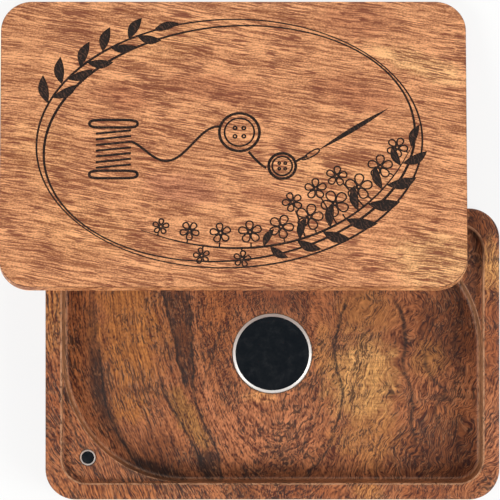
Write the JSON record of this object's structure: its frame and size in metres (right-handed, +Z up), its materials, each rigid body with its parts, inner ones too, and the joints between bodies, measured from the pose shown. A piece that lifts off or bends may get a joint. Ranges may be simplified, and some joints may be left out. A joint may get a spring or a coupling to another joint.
{
  "type": "wooden pin organizer box",
  "caption": "Palm-size wooden pin box: a routed tray with a disc magnet in its pocket and a loose lid that leans open on the back rim and seats in a recess.",
  "frame": {"origin": "centre of the tray's flat underside", "axes": "+X along the tray's length, +Y towards its back, where the open lid leans, +Z up"},
  "size_m": [0.1248, 0.1248, 0.0288],
  "materials": {
    "tray_wood": "oiled satin",
    "lid_wood": "sanded, burnt line work",
    "lid_inner_wood": "sanded",
    "nickel_plate": "mirror",
    "epoxy_glue": "clear hard glue"
  },
  "bodies": {
    "tray": {"tray": "tray_wood", "centre_magnet": "nickel_plate", "centre_magnet_glue": "epoxy_glue", "tray_magnet_front_left": "nickel_plate", "tray_magnet_glue_front_left": "epoxy_glue", "tray_magnet_back_right": "nickel_plate", "tray_magnet_glue_back_right": "epoxy_glue"},
    "lid": {"lid_board": "lid_wood", "lid_inner_board": "lid_inner_wood", "lid_magnet_front_left": "nickel_plate", "lid_magnet_glue_front_left": "epoxy_glue", "lid_magnet_back_right": "nickel_plate", "lid_magnet_glue_back_right": "epoxy_glue"}
  },
  "joints": [
    {"name": "lid_lift", "type": "slide", "parent": "tray", "child": "lid", "axis": [0, 0, 1], "range_m": [0, 0.06]}
  ]
}
